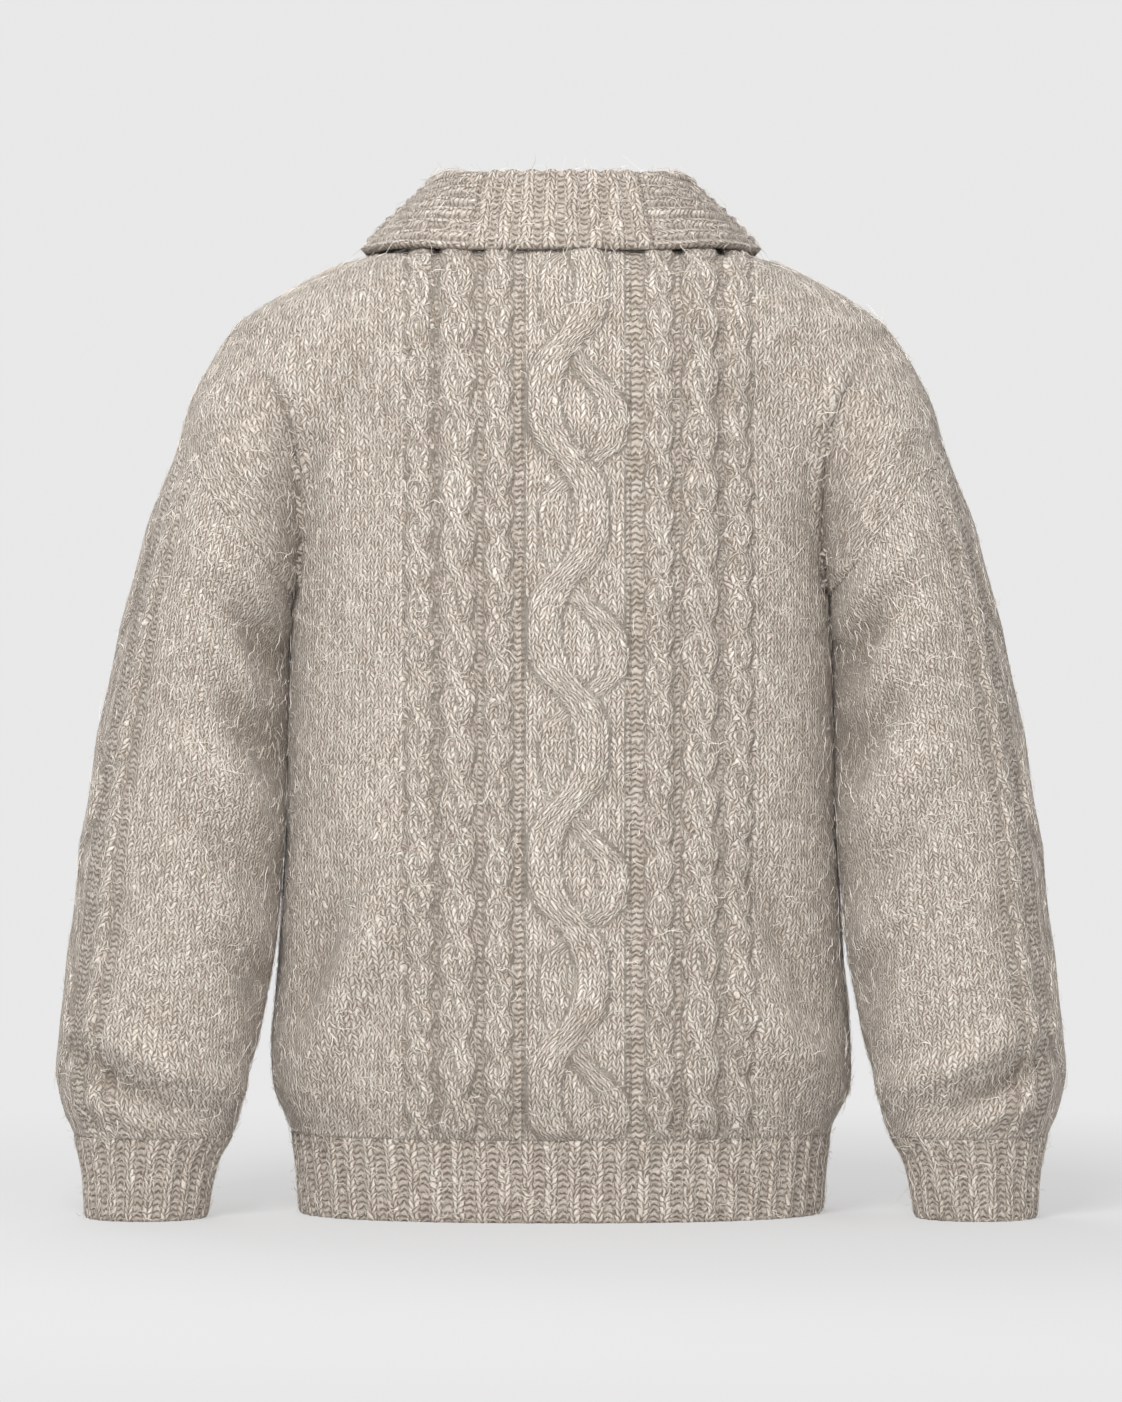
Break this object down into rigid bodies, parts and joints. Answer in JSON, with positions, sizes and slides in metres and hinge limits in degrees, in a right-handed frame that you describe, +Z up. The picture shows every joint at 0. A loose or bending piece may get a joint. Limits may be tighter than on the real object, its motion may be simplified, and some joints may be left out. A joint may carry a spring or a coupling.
{
  "type": "cable knit sweater",
  "caption": "Chunky cable knit pullover with dropped shoulders, long sleeves, ribbed cuffs and hem and a turned-over rib collar, standing hollow as if worn.",
  "frame": {"origin": "on the ground under the middle of the garment's bounding box", "axes": "+Z up from hem to collar, -Y towards the wearer's front, +Y towards the back, +X towards the wearer's left sleeve"},
  "size_m": [0.7002, 0.2672, 0.7241],
  "materials": {
    "knit": "heathered oatmeal wool blend, brushed",
    "rib": "heathered oatmeal wool blend, brushed, in rib"
  },
  "bodies": {
    "root": {"back": "knit", "front": "knit", "sleeve_left": "knit", "sleeve_right": "knit", "cuff_left": "rib", "cuff_right": "rib", "hem_rib": "rib", "collar_back": "rib", "collar_left": "rib", "collar_right": "rib"}
  },
  "joints": []
}
